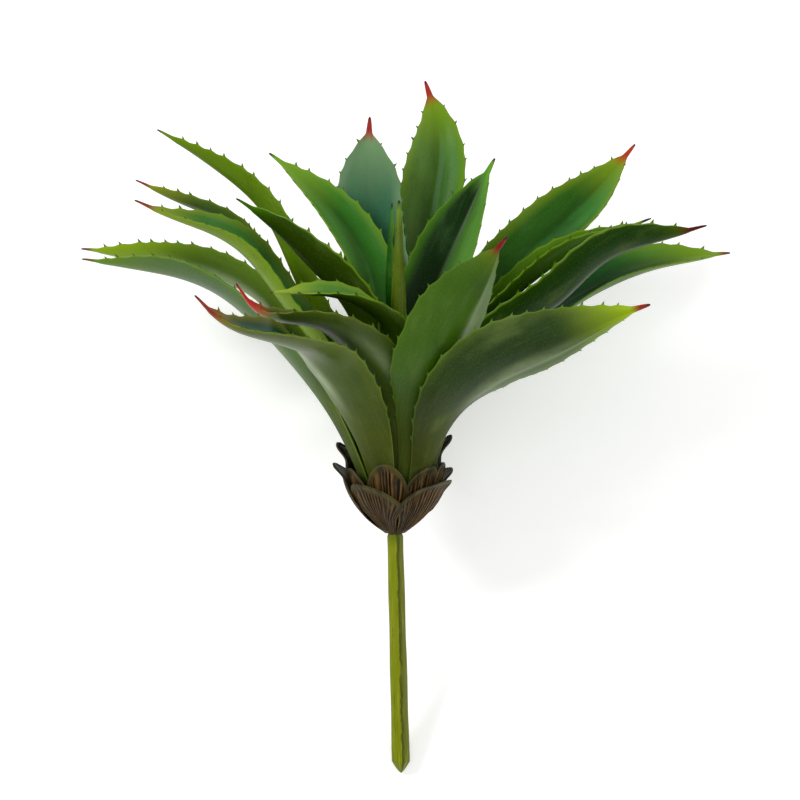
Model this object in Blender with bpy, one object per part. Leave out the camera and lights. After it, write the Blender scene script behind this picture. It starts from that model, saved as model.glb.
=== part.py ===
"""An artificial aloe on a short stem, lying on a surface.

The plant is modelled as it would stand, called its growth frame: the stem runs along Z with the collar's
foot at Z 0, X is to the right and the side shown to a viewer faces -Y. It is then laid on its back: the
leaves behind and the point of the stem touch the surface, and the side shown faces up.
"""

import math
from collections import namedtuple

import bmesh
import bpy
import numpy as np
from mathutils import Matrix, Vector

MM = 0.001

# The stem: a ribbed rod with a cut point below the collar, and a core hidden among the leaf bases.
STEM_RADIUS = 3.9 * MM
STEM_RIDGE = 0.5 * MM
STEM_NECK = 1.5 * MM
STEM_GIRTH = 0.6 * MM
STEM_SWELL = 0.5 * MM
STEM_BELOW = 120.0 * MM
STEM_POINT = 6.0 * MM
STEM_CORE = 36.0 * MM
STEM_LEAN = 3.0 * MM
STEM_SIDES = 10
STEM_RINGS = (0.75, 0.5, 0.25)
RIB_AZIMUTH = -75.0

# The rosette. The paths in LEAVES are in millimetres at SPREAD 1 and RISE 1.
SPREAD = 1.0
RISE = 1.0
LEAF_THICKNESS = 1.7 * MM
LEAF_EDGE = 0.7 * MM
LEAF_THINNEST = 0.8 * MM
LEAF_NECK = 0.78
TAPER_POWER = 1.8
BACK_DIP = 35.0
BASE_FOLD = 34.0
SPIKE_LENGTH = 9.0 * MM
SPIKE_WIDTH = 3.0 * MM
SEAT_GAP = 0.3 * MM
BASE_SHARE = 0.86
BASE_WIDEST = 62.0

# The whorls of leaf bases, from the outermost inwards, nest like bowls on the stem.
WHORL_FOOT = 7.5 * MM
WHORL_RISE = 4.9 * MM
WHORL_RADIUS = 20.6 * MM
WHORL_STEP = 3.1 * MM
WHORL_TOP = 40.0 * MM
WHORL_ROUND = 1.6
BOWL_SHARES = (0.0, 0.35, 0.8)

# The collar of husks, in an inner and an outer layer.
HUSK_THICKNESS = 0.75 * MM
HUSK_SWIRL = 0.85 * MM
HUSK_GAP = 0.3 * MM
HUSK_ROUND = 2.3
HUSK_FOOT_SHARE = 0.475
HUSK_INNER_FOOT = 3.0 * MM
HUSK_FLARE = 8.0 * MM
HUSK_SPREAD_FROM = 6.0 * MM
HUSK_SPREAD_OVER = 10.0 * MM
HUSK_RIM_BELOW = 4.0 * MM
HUSK_RIM_POWER = 2.2
HUSK_CURL_FROM = 0.72

# How finely the solids are faceted.
LEAF_STATIONS = 14
STATION_POWER = 1.35
LEAF_COLUMNS = 4
HUSK_ROWS = 7
HUSK_COLUMNS = 8

# name, whorl, azimuth of the base (0 is +X, 90 is +Y), path in the air to the tip, width, taper towards
# the tip, half angle of the channel, the azimuths that the leaf's back faces half way and at the tip, and
# how far its back dips past the base
Leaf = namedtuple(
    "Leaf", "name whorl azimuth path width taper fold back_middle back_tip dip", defaults=[BACK_DIP]
)
LEAVES = [
    Leaf("leaf_front_left", 0, 243, [(-23, -37, 67), (-37, -57, 85), (-58, -82, 94.5), (-76, -93, 100),
                                     (-91.5, -102, 114.5)], 31, 52, 54, 242, 160),
    Leaf("leaf_front_right_low", 0, 318, [(26, -36, 62), (46, -56, 82.5), (64, -67, 91), (82, -75, 98),
                                          (99, -80, 104.5), (119, -84, 111)], 36, 72, 38, 288, 292, 18),
    Leaf("leaf_right_low", 0, 8, [(30, -1, 62), (54, 6, 92), (86, 13, 115), (117, 22, 131),
                                  (150, 29, 139), (172, 31, 142)], 33, 52, 45, 40, 40),
    Leaf("leaf_back_right_low", 0, 70, [(20, 38, 60), (30, 60, 88), (36, 88, 112)], 29, 52, 45, 70, 70),
    Leaf("leaf_back_left_low", 0, 127, [(-25, 38, 62), (-38, 61, 92), (-52, 92, 123)], 29, 52, 45, 125, 125),
    Leaf("leaf_left_low", 0, 186, [(-31, 2, 57), (-56, 8, 90), (-82, 14, 115), (-112, 19, 130),
                                   (-145, 23, 136), (-160, 25, 138.5)], 30, 52, 42, 182, 182),
    Leaf("leaf_front_centre", 1, 298, [(13, -30, 66.5), (17, -43, 81), (29, -60, 108), (43, -72, 130),
                                       (52.5, -80, 143)], 37, 46, 36, 284, 290),
    Leaf("leaf_right_middle", 1, 345, [(38.5, -17, 84), (64, -22, 105), (79, -26, 115), (107, -32, 138),
                                       (137, -37, 147), (151, -39, 151)], 31, 52, 55, 330, 330),
    Leaf("leaf_right_back", 1, 52, [(24, 29, 79), (45.5, 37, 115), (67.5, 47, 141), (95.5, 54, 166),
                                    (109, 57, 180), (126, 60, 201)], 37, 54, 40, 68, 68),
    Leaf("leaf_back_low", 1, 103, [(-6, 41, 80), (-6, 62, 110), (-1, 82, 142)], 27, 52, 45, 95, 95),
    Leaf("leaf_left_middle", 1, 158, [(-26, 14, 64), (-51, 24, 95), (-69, 32, 117), (-84, 36, 127),
                                      (-105, 40, 134), (-132, 43, 140), (-163, 45, 145)],
         31, 60, 50, 195, 195),
    Leaf("leaf_left_upper", 1, 212, [(-34, -12, 86), (-58, -18, 118.5), (-76, -24, 141), (-89, -26, 148.5),
                                     (-112, -29, 157), (-127, -30, 164)], 31, 60, 55, 168, 165),
    Leaf("leaf_front_left_upper", 2, 275, [(1, -23, 64), (-7, -31, 78), (-23, -42, 93.5), (-45, -52, 103),
                                           (-63, -56.5, 107), (-75.5, -60, 122)], 30, 52, 54, 236, 156),
    Leaf("leaf_right_upper", 2, 2, [(24, 0, 76), (54, 2, 113), (74, 4, 131), (93, 6, 143), (108, 7, 149),
                                    (129, 8, 158)], 30, 52, 60, 12, 12),
    Leaf("leaf_left_back", 2, 131, [(-22, 21, 75), (-44, 33, 104), (-67, 37, 131), (-80, 37, 152),
                                    (-102, 37, 165), (-134, 38, 180)], 28, 52, 50, 180, 180),
    Leaf("leaf_left_centre", 3, 200, [(-13, -3, 78), (-20, -5, 108), (-29, -10, 121.5), (-43, -15, 136),
                                      (-57, -19, 150), (-78, -22, 165.5)], 30, 56, 52, 215, 210),
    Leaf("leaf_left_inner", 3, 250, [(-2, -20, 80), (-3, -28, 99), (-15, -36, 111), (-34, -42, 117.5),
                                     (-60, -48, 118)], 31, 56, 50, 208, 152),
    Leaf("leaf_upper_left", 2, 178, [(-20, 6, 80), (-41, 12, 111), (-57, 15, 146), (-68, 17, 164),
                                     (-88, 21, 182.5), (-121.5, 24, 204.5)], 22, 60, 55, 208, 196),
    Leaf("leaf_top", 3, 88, [(4.6, 19.4, 80), (9, 31.2, 122), (20, 43, 178),
                             (21.5, 49, 210), (15.5, 51, 233)], 32, 44, 35, 84, 84),
    Leaf("leaf_upper_right", 3, 35, [(8, 7, 80), (20, 10, 122), (31, 13, 147), (40.5, 14, 168),
                                     (50.5, 15, 189)], 33, 46, 50, 72, 72),
    Leaf("leaf_upper_left_inner", 4, 152, [(-4, 5.5, 80), (-7, 8.5, 101), (-14, 12, 134), (-26, 14, 155),
                                           (-37, 16, 168), (-64, 18, 192)], 26, 52, 42, 110, 115),
    Leaf("leaf_top_left", 4, 98, [(-2, 10, 80), (-8.5, 20, 127), (-13.5, 30, 172), (-13, 32, 212)],
         32, 30, 35, 94, 94),
    Leaf("leaf_heart", 4, 275, [(1.5, -7, 80), (2, -7, 109), (2, -4.5, 166)], 6.6, 52, 80, 272, 272),
    Leaf("leaf_heart_small", 4, 208, [(-1.8, -0.8, 80), (-3.3, 0, 120), (-1.5, 1, 165)],
         8.5, 40, 60, 200, 200),
]

# name, layer (0 inner, 1 outer), azimuth, half span in degrees, height of the rim's peak, height of its
# sides, where the peak lies from -1 to 1, and how far the tip curls out
Husk = namedtuple("Husk", "name layer azimuth half peak side lean curl")
HUSKS = [
    Husk("husk_front_left", 1, 238, 48, 25, 12.5, -0.45, 0.0),
    Husk("husk_front_right", 1, 312, 40, 28, 13, 0.8, 2.5),
    Husk("husk_right", 1, 22, 42, 34, 20, -0.1, 3.0),
    Husk("husk_back", 1, 92, 42, 34, 20, 0.0, 1.5),
    Husk("husk_left", 1, 163, 42, 37, 18, 0.35, 4.0),
    Husk("husk_inner_front", 0, 258, 32, 35, 20, 0.0, 0.3),
    Husk("husk_inner_front_right", 0, 306, 27, 34, 20, 0.55, 0.5),
    Husk("husk_inner_right", 0, 347, 26, 36, 20, 0.0, 1.0),
    Husk("husk_inner_back_right", 0, 32, 27, 52, 22, -0.5, 6.5),
    Husk("husk_inner_back", 0, 98, 30, 42, 22, 0.0, 1.0),
    Husk("husk_inner_back_left", 0, 150, 28, 48, 22, 0.5, 6.0),
    Husk("husk_inner_left", 0, 204, 30, 33, 20, 0.0, 0.8),
]


def smooth_step(x):
    x = np.clip(x, 0.0, 1.0)
    return x * x * (3.0 - 2.0 * x)


def turn_between(first, second):
    """The smaller turn between two azimuths, in degrees."""
    return abs((first - second + 180) % 360 - 180)


def spline(points, at):
    """The natural cubic spline through points, read at the shares `at` of its chord length."""
    points = np.asarray(points, float)
    knots = np.concatenate([[0.0], np.cumsum(np.linalg.norm(np.diff(points, axis=0), axis=1))])
    step, slope = np.diff(knots), np.diff(points, axis=0) / np.diff(knots)[:, None]
    count = len(points)
    system, right = np.eye(count), np.zeros_like(points)
    for i in range(1, count - 1):
        system[i, i - 1], system[i, i], system[i, i + 1] = step[i - 1], 2 * (step[i - 1] + step[i]), step[i]
        right[i] = 6 * (slope[i] - slope[i - 1])
    bend = np.linalg.solve(system, right)
    place = np.clip(at, 0.0, 1.0) * knots[-1]
    i = np.clip(np.searchsorted(knots, place, side="right") - 1, 0, count - 2)
    before, after, span = (place - knots[i])[:, None], (knots[i + 1] - place)[:, None], step[i][:, None]
    return (
        (bend[i] * after**3 + bend[i + 1] * before**3) / (6 * span)
        + (points[i] / span - bend[i] * span / 6) * after
        + (points[i + 1] / span - bend[i + 1] * span / 6) * before
    )


def nest_radius(height, foot, radius, top, start, bulge):
    """The radius of a bowl that leaves the stem at the height `foot` and is upright near the height `top`."""
    share = np.clip((height - foot) / (top - foot), 0.0, 1.0)
    return start + (radius - start) * (1.0 - (1.0 - share) ** bulge)


def whorl_foot(whorl):
    return WHORL_FOOT + whorl * WHORL_RISE


def whorl_radius(whorl, height):
    start = STEM_RADIUS + SEAT_GAP + LEAF_THICKNESS / 2
    radius = WHORL_RADIUS - whorl * WHORL_STEP
    return nest_radius(height, whorl_foot(whorl), radius, WHORL_TOP, start, WHORL_ROUND)


def leaf_path(leaf):
    """The leaf's route: up its bowl from the stem, then through the points of its path."""
    angle, foot = math.radians(leaf.azimuth), whorl_foot(leaf.whorl)
    points = []
    for share in BOWL_SHARES:
        height = foot + share * (WHORL_TOP - foot)
        radius = whorl_radius(leaf.whorl, height)
        points.append((radius * math.cos(angle), radius * math.sin(angle), height))
    points += [(x * MM * SPREAD, y * MM * SPREAD, z * MM * RISE) for x, y, z in leaf.path]
    return points


def base_share(leaf):
    """The share of a full turn that the leaf's base may take up beside its neighbours in the whorl."""
    others = [other.azimuth for other in LEAVES if other.whorl == leaf.whorl and other is not leaf]
    nearest = min(turn_between(other, leaf.azimuth) for other in others)
    return BASE_SHARE * min(nearest, BASE_WIDEST) / 360


def leaf_width(leaf, share, centre, length):
    """The blade's width: narrow at the base, full along the blade, an ogive and then a fine spike."""
    full = leaf.width * MM
    from_tip = (1.0 - share) * length
    taper = min(leaf.taper * MM, 0.45 * length)
    left = np.clip(1.0 - (from_tip - SPIKE_LENGTH) / taper, 0.0, 1.0)
    spike = min(SPIKE_WIDTH, full / 3)
    blade = spike + (full - spike) * (1.0 - left**TAPER_POWER)
    blade = np.where(from_tip < SPIKE_LENGTH, spike * np.sqrt(from_tip / SPIKE_LENGTH), blade)
    blade = blade * (LEAF_NECK + (1.0 - LEAF_NECK) * smooth_step(share / 0.5))
    room = base_share(leaf) * 2 * math.pi * np.hypot(centre[:, 0], centre[:, 1])
    crowded = 1.0 - smooth_step((share - 0.15) / 0.4)
    return np.maximum((np.maximum(blade, 1e-6) ** -4 + crowded * room**-4) ** -0.25, 1e-5)


def leaf_frames(leaf, share, centre):
    """Unit vectors across the leaf and out of its back, at each station."""
    along = np.gradient(centre, axis=0)
    along /= np.linalg.norm(along, axis=1)[:, None]
    turns = np.unwrap(np.radians([leaf.azimuth, leaf.back_middle, leaf.back_tip]))
    turn = np.interp(share, [0.12, 0.5, 1.0], turns)
    dip = np.radians(np.interp(share, [0.12, 0.5], [BACK_DIP, leaf.dip]))
    level, down = np.cos(dip), np.sin(dip)
    back = np.stack([np.cos(turn) * level, np.sin(turn) * level, -down], 1)
    back -= np.sum(back * along, axis=1)[:, None] * along
    back /= np.linalg.norm(back, axis=1)[:, None]
    return np.cross(along, back), back


def leaf_section(width, fold, thickness, side, back, across):
    """Points of a channelled section's back and face, at the shares `across` (-1 to 1) of its width."""
    radius = width / 2 / math.sin(fold)
    sine, cosine = np.sin(fold * across)[:, None], np.cos(fold * across)[:, None]
    offset = side * radius * sine - back * radius * (1 - cosine)
    normal = side * sine + back * cosine
    half = (LEAF_EDGE + (thickness - LEAF_EDGE) * (1 - across**2)) / 2
    return offset + normal * half[:, None], offset - normal * half[:, None]


def loft(rings, tip):
    """Vertices and faces of a solid through closed rings of two rows each, ending at a point."""
    size = len(rings[0])
    vertices = [tuple(point) for ring in rings for point in ring] + [tuple(tip)]
    faces = []
    for start in range(0, size * (len(rings) - 1), size):
        for i in range(size):
            j = (i + 1) % size
            faces.append((start + i, start + j, start + size + j, start + size + i))
    for i in range(size // 2 - 1):
        faces.append((i, i + 1, size - 2 - i, size - 1 - i))
    last = size * (len(rings) - 1)
    faces += [(last + i, last + (i + 1) % size, len(vertices) - 1) for i in range(size)]
    return vertices, faces


def leaf_solid(leaf):
    share = 1.0 - (1.0 - np.linspace(0.0, 1.0, LEAF_STATIONS)) ** STATION_POWER
    centre = spline(leaf_path(leaf), share)
    length = np.sum(np.linalg.norm(np.diff(centre, axis=0), axis=1))
    width = leaf_width(leaf, share, centre, length)
    side, back = leaf_frames(leaf, share, centre)
    across = np.linspace(-1.0, 1.0, LEAF_COLUMNS + 1)
    rings = []
    for i in range(LEAF_STATIONS - 1):
        folded = smooth_step(share[i] / 0.4)
        fold = math.radians(leaf.fold * folded + BASE_FOLD * (1 - folded))
        thickness = min(LEAF_THICKNESS, max(0.4 * width[i], LEAF_THINNEST))
        outer, inner = leaf_section(width[i], fold, thickness, side[i], back[i], across)
        rings.append(np.concatenate([centre[i] + outer, (centre[i] + inner)[::-1]]))
    return loft(rings, centre[-1])


def husk_foot(layer):
    return 0.0 if layer else HUSK_INNER_FOOT


def husk_profile(layer, height, swirl):
    """The radius of a husk's middle surface: the outer whorl's bowl, pushed out by what lies between."""
    depth = HUSK_THICKNESS + 2 * HUSK_SWIRL + HUSK_GAP
    foot = husk_foot(layer)
    start = STEM_RADIUS + SEAT_GAP + HUSK_THICKNESS / 2
    radius = WHORL_RADIUS + LEAF_THICKNESS / 2 + HUSK_GAP + depth * (layer + 0.5)
    rise = smooth_step((height - foot) / HUSK_FLARE)
    bowl = nest_radius(height, foot, radius, WHORL_TOP - HUSK_RIM_BELOW, start, HUSK_ROUND)
    return bowl + swirl * HUSK_SWIRL * rise


def husk_solid(husk):
    others = [other.azimuth for other in HUSKS if other.layer == husk.layer and other is not husk]
    foot_half = HUSK_FOOT_SHARE * min(turn_between(other, husk.azimuth) for other in others)
    foot = husk_foot(husk.layer)
    columns = np.linspace(-1.0, 1.0, HUSK_COLUMNS + 1)
    rows = np.linspace(0.0, 1.0, HUSK_ROWS + 1)
    reach = (columns - husk.lean) / np.where(columns < husk.lean, -1 - husk.lean, 1 - husk.lean)
    top = (husk.side + (husk.peak - husk.side) * (1 - reach**HUSK_RIM_POWER)) * MM
    curl_from, curl_over = HUSK_CURL_FROM * husk.peak * MM, (1 - HUSK_CURL_FROM) * husk.peak * MM
    surfaces = []
    for half_thickness in (HUSK_THICKNESS / 2, -HUSK_THICKNESS / 2):
        grid = []
        for row in rows:
            height = foot + (top - foot) * row
            spread = smooth_step((height - foot - HUSK_SPREAD_FROM) / HUSK_SPREAD_OVER)
            half = foot_half + (husk.half - foot_half) * spread
            turn = np.radians(husk.azimuth + half * columns)
            curl = husk.curl * MM * smooth_step((height - curl_from) / curl_over)
            radius = husk_profile(husk.layer, height, columns) + curl + half_thickness
            grid.append(np.stack([radius * np.cos(turn), radius * np.sin(turn), height], 1))
        surfaces.append(grid)
    vertices = [tuple(point) for grid in surfaces for row in grid for point in row]
    width, size = HUSK_COLUMNS + 1, (HUSK_COLUMNS + 1) * (HUSK_ROWS + 1)
    faces = []
    for r in range(HUSK_ROWS):
        for c in range(HUSK_COLUMNS):
            a = r * width + c
            faces.append((a, a + 1, a + width + 1, a + width))
            faces.append((size + a + width, size + a + width + 1, size + a + 1, size + a))
    edge = list(range(width)) + [r * width + HUSK_COLUMNS for r in range(1, HUSK_ROWS + 1)]
    edge += [HUSK_ROWS * width + c for c in range(HUSK_COLUMNS - 1, -1, -1)]
    edge += [r * width for r in range(HUSK_ROWS - 1, 0, -1)]
    faces += [(a, size + a, size + b, b) for a, b in zip(edge, edge[1:] + edge[:1])]
    return vertices, faces


def stem_solid():
    """A rod with one rib along it, from its cut point up to the core among the leaf bases."""
    turns = [2 * math.pi * i / STEM_SIDES for i in range(STEM_SIDES)]
    heights = [STEM_CORE, 0.0, -STEM_NECK] + [-ring * STEM_BELOW for ring in reversed(STEM_RINGS)]
    rings = []
    for height in heights + [STEM_POINT - STEM_BELOW]:
        below = max(-height, 0.0) / STEM_BELOW
        drift = below * STEM_LEAN
        thicker = STEM_GIRTH + below * STEM_SWELL if below else 0.0
        ring = []
        for turn in turns:
            rib = STEM_RIDGE * max(math.cos(turn - math.radians(RIB_AZIMUTH)), 0.0) ** 6
            radius = STEM_RADIUS - STEM_RIDGE + thicker + rib
            ring.append((drift + radius * math.cos(turn), radius * math.sin(turn), height))
        rings.append(ring)
    vertices = [point for ring in rings for point in ring] + [(STEM_LEAN, 0.0, -STEM_BELOW)]
    faces = [tuple(range(STEM_SIDES))]
    for start in range(0, STEM_SIDES * (len(rings) - 1), STEM_SIDES):
        for i in range(STEM_SIDES):
            j = (i + 1) % STEM_SIDES
            faces.append((start + i, start + j, start + STEM_SIDES + j, start + STEM_SIDES + i))
    last = STEM_SIDES * (len(rings) - 1)
    faces += [(last + i, last + (i + 1) % STEM_SIDES, len(vertices) - 1) for i in range(STEM_SIDES)]
    return vertices, faces


def laid_down(solids):
    """The move that lays the plant on its back, on the three points that hold it up."""
    points = np.array([point for vertices, _ in solids.values() for point in vertices])
    centre = np.mean([np.mean(vertices, axis=0) for vertices, _ in solids.values()], axis=0)
    hull = bmesh.new()
    for point in points:
        hull.verts.new(point)
    bmesh.ops.convex_hull(hull, input=hull.verts)
    hull.faces.ensure_lookup_table()
    best = None
    for face in hull.faces:
        normal = face.normal.normalized()
        if normal.dot(Vector(centre) - face.verts[0].co) > 0:
            normal = -normal
        corners = [vertex.co for vertex in face.verts]
        under = Vector(centre) - normal * normal.dot(Vector(centre) - corners[0])
        inside = all(
            (corners[i] - corners[i - 1]).cross(under - corners[i - 1]).dot(face.normal) > 0
            for i in range(len(corners))
        )
        if inside and normal.y > 0.5 and (best is None or normal.y > best.y):
            best = normal
    hull.free()
    turn = best.rotation_difference(Vector((0, 0, -1))).to_matrix()
    forward = turn @ Vector((0, 0, 1))
    turn = Matrix.Rotation(math.atan2(forward.x, forward.y), 3, "Z") @ turn
    turned = points @ np.array(turn).T
    low, high = turned.min(axis=0), turned.max(axis=0)
    shift = Vector((-(low[0] + high[0]) / 2, -(low[1] + high[1]) / 2, -low[2]))
    return Matrix.Translation(shift) @ turn.to_4x4()


def material(name, colour, roughness):
    made = bpy.data.materials.new(name)
    made.use_nodes = True
    shader = made.node_tree.nodes["Principled BSDF"]
    shader.inputs["Base Color"].default_value = (*colour, 1.0)
    shader.inputs["Roughness"].default_value = roughness
    return made


def add(name, solid, finish, move):
    vertices, faces = solid
    mesh = bpy.data.meshes.new(name)
    mesh.from_pydata([tuple(v) for v in vertices], [], faces)
    shaped = bmesh.new()
    shaped.from_mesh(mesh)
    bmesh.ops.triangulate(shaped, faces=shaped.faces)
    bmesh.ops.recalc_face_normals(shaped, faces=shaped.faces)
    bmesh.ops.transform(shaped, matrix=move, verts=shaped.verts)
    shaped.to_mesh(mesh)
    shaped.free()
    mesh.shade_smooth()
    mesh.set_sharp_from_angle(angle=math.radians(50))
    mesh.materials.append(finish)
    bpy.context.collection.objects.link(bpy.data.objects.new(name, mesh))


def main():
    for old in list(bpy.data.objects):
        bpy.data.objects.remove(old)
    solids = {"stem": stem_solid()}
    solids.update({leaf.name: leaf_solid(leaf) for leaf in LEAVES})
    solids.update({husk.name: husk_solid(husk) for husk in HUSKS})
    stem = material("stem_plastic", (0.30, 0.34, 0.05), 0.45)
    leaf = material("leaf_plastic", (0.07, 0.20, 0.03), 0.40)
    husk = material("husk_plastic", (0.10, 0.06, 0.03), 0.60)
    move = laid_down(solids)
    for name, solid in solids.items():
        finish = stem if name == "stem" else husk if name.startswith("husk") else leaf
        add(name, solid, finish, move)


main()
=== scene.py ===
"""The looks of an artificial aloe pick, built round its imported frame.

Every leaf, husk and the stem is shaped again at full detail on the frame's own curves: toothed margins,
creased channels and fine spikes on the leaves, ribs and rolled rims on the husks, and facets on the stem.
The plant is described as it would stand, in its growth frame: the stem runs along Z with the collar's foot
at Z 0, X is to the right and the side that is shown faces -Y. It is then laid on its back as the frame is.
"""

import math
from collections import namedtuple

import bpy
import numpy as np
from mathutils import Matrix, Vector

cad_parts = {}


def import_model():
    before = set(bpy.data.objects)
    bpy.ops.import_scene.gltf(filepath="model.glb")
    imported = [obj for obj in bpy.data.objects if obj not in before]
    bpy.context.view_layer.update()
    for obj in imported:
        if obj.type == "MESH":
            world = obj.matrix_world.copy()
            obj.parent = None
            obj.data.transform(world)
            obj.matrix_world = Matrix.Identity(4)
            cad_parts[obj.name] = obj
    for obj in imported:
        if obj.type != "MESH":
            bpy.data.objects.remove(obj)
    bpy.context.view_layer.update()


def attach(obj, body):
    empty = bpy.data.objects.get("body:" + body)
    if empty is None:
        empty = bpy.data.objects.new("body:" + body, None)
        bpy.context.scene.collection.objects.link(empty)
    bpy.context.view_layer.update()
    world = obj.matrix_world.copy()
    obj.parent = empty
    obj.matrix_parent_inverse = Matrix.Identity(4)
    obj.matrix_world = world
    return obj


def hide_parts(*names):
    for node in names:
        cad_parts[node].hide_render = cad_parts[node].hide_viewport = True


MM = 0.001
SHARP_ANGLE = 60

# How the plant is laid down: leaned back, turned a little, and moved.
LAY_LEAN = -69.674
LAY_TURN = -0.049
LAY_SHIFT = Vector((-4.53, -61.84, 43.59)) * MM

# The camera looks at the shown side, square to the stem.
CAMERA_DISTANCE = 1.2
CAMERA_AIM = Vector((2.5, 0.0, 66.5)) * MM
CAMERA_LENS = 108.0

# The stem.
STEM_RADIUS = 3.9 * MM
STEM_RIDGE = 0.5 * MM
STEM_NECK = 1.5 * MM
STEM_GIRTH = 0.6 * MM
STEM_SWELL = 0.5 * MM
STEM_BELOW = 120.0 * MM
STEM_POINT = 6.0 * MM
STEM_CORE = 36.0 * MM
STEM_LEAN = 3.0 * MM
STEM_SIDES = 60
STEM_RINGS = 150
STEM_POINT_RINGS = 14
STEM_POINT_POWER = 0.75
RIB_AZIMUTH = -75.0
RIB_SHARPNESS = 10
FACETS = 5
FACET_DEPTH = 0.10 * MM
UNEVEN_DEPTH = 0.09 * MM
UNEVEN_PITCH = 6.3 * MM
UNEVEN_BELOW = 8 * MM

# The rosette.
LEAF_THICKNESS = 1.7 * MM
LEAF_EDGE = 0.7 * MM
LEAF_THINNEST = 0.8 * MM
LEAF_NECK = 0.78
TAPER_POWER = 1.8
BACK_DIP = 35.0
BASE_FOLD = 34.0
SPIKE_LENGTH = 9.0 * MM
SPIKE_WIDTH = 3.0 * MM
SEAT_GAP = 0.3 * MM
BASE_SHARE = 0.86
BASE_WIDEST = 62.0
LEAF_STATIONS = 110
LEAF_COLUMNS = 30
STATION_POWER = 1.35
BLADE_SEED, THORN_SEED = 100, 500
COLUMN_CROWDING = 0.86
TAPER_MOST = 0.45
CROWDED_FROM, CROWDED_OVER = 0.15, 0.4
TURN_SHARES = (0.12, 0.5, 1.0)
FOLDED_BY = 0.4
FREE_FROM, FREE_OVER, FREE_TIP = 0.3, 0.3, 25 * MM
SPIKE_THICKNESS = 0.4
CREASE_WIDTH = 0.14

# The whorls of leaf bases, from the outermost inwards, nest like bowls on the stem.
WHORL_FOOT = 7.5 * MM
WHORL_RISE = 4.9 * MM
WHORL_RADIUS = 20.6 * MM
WHORL_STEP = 3.1 * MM
WHORL_TOP = 40.0 * MM
WHORL_ROUND = 1.6
BOWL_SHARES = (0.0, 0.35, 0.8)

# The teeth along the leaf margins and the scallops between them, the waves in the blades and the keel.
TOOTH_PITCH = 9.0 * MM
TOOTH_LENGTH = 1.8 * MM
TOOTH_ROOT = 2.3 * MM
TOOTH_DEPTH = 0.6 * MM
TOOTH_FROM_TIP = 13.0 * MM
TOOTH_FROM_BASE = 0.24
TOOTH_SIDES = 8
TOOTH_RINGS = ((-0.35, 1.0), (0.25, 0.62), (0.65, 0.3))  # place along the tooth, share of its root's width
TOOTH_OUT, TOOTH_FORWARD = 0.8, 0.6
TOOTH_BEND, TOOTH_TIP_BEND = 0.18, 0.2
FIRST_TOOTH_SPREAD = 0.3
PITCH_LEAST, PITCH_SPREAD = 0.7, 0.6
GROWN_LEAST, GROWN_SPREAD = 0.75, 0.5
SCALLOP = 0.30 * MM
WAVE = 0.28 * MM
WAVE_LONG, WAVE_SHORT = 17 * MM, 8 * MM
KEEL_PLACE = 0.42
KEEL_WIDTH = 0.11

# The collar of husks, in an inner and an outer layer.
HUSK_THICKNESS = 0.75 * MM
HUSK_SWIRL = 0.85 * MM
HUSK_GAP = 0.3 * MM
HUSK_ROUND = 2.3
HUSK_FOOT_SHARE = 0.475
HUSK_INNER_FOOT = 3.0 * MM
HUSK_FLARE = 8.0 * MM
HUSK_SPREAD_FROM = 6.0 * MM
HUSK_SPREAD_OVER = 10.0 * MM
HUSK_RIM_BELOW = 4.0 * MM
HUSK_RIM_POWER = 2.2
HUSK_CURL_FROM = 0.72
HUSK_ROWS = 70
HUSK_COLUMNS = 90
RIB_DEPTH = 0.42 * MM
RIB_PITCH = 1.9 * MM
LIP_HEIGHT = 2.6 * MM
LIP_PUSH = 0.75 * MM
HOOK, HOOK_FROM, HOOK_OVER = 0.45, 0.8, 0.2
HUSK_SEED = 900
RIB_KNOTS, RIB_WANDER = 9, 1.6
STRENGTH_KNOTS, STRENGTH_LEAST, STRENGTH_SPREAD = 23, 0.35, 0.65
RIB_DRIFT = 0.35
RIB_STARTS = 0.15
LIP_INSIDE = 0.55
SIDE_THINNING, SIDE_FROM, SIDE_OVER = 0.55, 0.9, 0.1

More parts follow.
